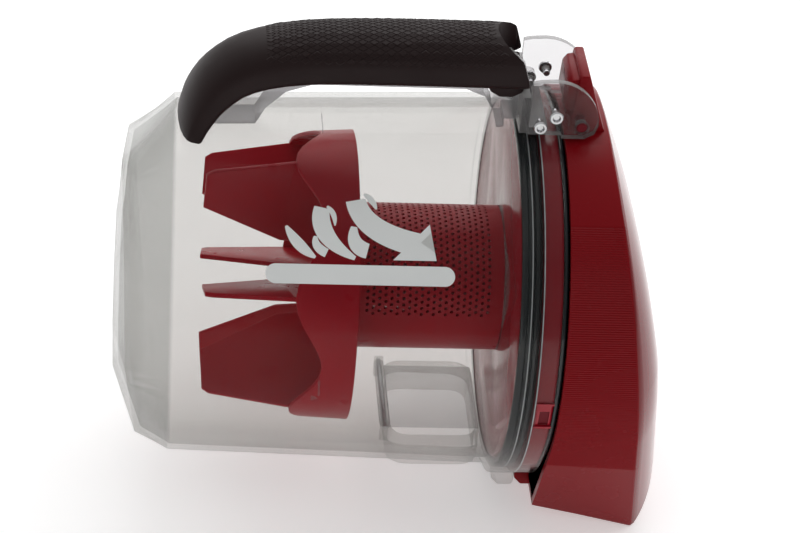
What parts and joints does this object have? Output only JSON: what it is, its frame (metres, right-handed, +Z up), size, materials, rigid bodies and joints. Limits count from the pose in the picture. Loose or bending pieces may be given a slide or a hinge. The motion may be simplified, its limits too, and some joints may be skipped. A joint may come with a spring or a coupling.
{
  "type": "vacuum cleaner dust container",
  "caption": "Clear cyclonic dust container of a bagless vacuum, with a finned separator, perforated screen, hinged red lid and a dark soft-grip carrying handle.",
  "frame": {"origin": "on the surface it stands on, under the middle of the object's box", "axes": "+X along the tub's axis from its closed end to the lid, +Z up through the handle, +Y away from the side the picture shows"},
  "size_m": [0.2384, 0.17, 0.2175],
  "materials": {
    "clear_tub": "smoky clear",
    "clear_handle": "clear",
    "soft_grip": "matte textured",
    "seal_rubber": "satin black",
    "red_plastic": "satin",
    "dark_red_plastic": "matte",
    "red_gloss": "gloss, finely ribbed sides",
    "filter_paper": "pleated paper",
    "filter_foam": "open foam",
    "flap_rubber": "satin",
    "steel": "bright"
  },
  "bodies": {
    "root": {"ear_screw_far_1": "steel", "ear_screw_far_2": "steel", "ear_screw_near_1": "steel", "ear_screw_near_2": "steel", "filter_base": "red_plastic", "filter_ring": "dark_red_plastic", "filter_screen": "red_plastic", "flap_pin": "steel", "foam_filter": "filter_foam", "grip_shell": "soft_grip", "handle_core": "clear_handle", "hinge_pin": "steel", "inlet_frame": "clear_tub", "pleated_filter": "filter_paper", "rim_gasket": "seal_rubber", "screen_end_cap": "dark_red_plastic", "tub_shell": "clear_tub"},
    "lid": {"lid_cover": "red_gloss", "lid_inner_plate": "dark_red_plastic", "lid_seal": "seal_rubber", "outlet_grille": "dark_red_plastic", "lid_screw_1": "steel", "lid_screw_2": "steel", "lid_screw_3": "steel", "lid_screw_4": "steel"},
    "separator": {"separator": "red_plastic"},
    "inlet_flap": {"inlet_flap": "flap_rubber"}
  },
  "joints": [
    {"name": "lid_hinge", "type": "hinge", "parent": "root", "child": "lid", "pos_m": [0.07143, 0, 0.183], "axis": [0, -1, 0], "range_deg": [0, 60]},
    {"name": "separator_twist", "type": "hinge", "parent": "root", "child": "separator", "pos_m": [-0.02917, 0, 0.093], "axis": [1, 0, 0], "range_deg": [0, 20]},
    {"name": "inlet_flap_swing", "type": "hinge", "parent": "root", "child": "inlet_flap", "pos_m": [0.00083, 0, 0.0278], "axis": [0, -1, 0], "range_deg": [0, 45]}
  ]
}
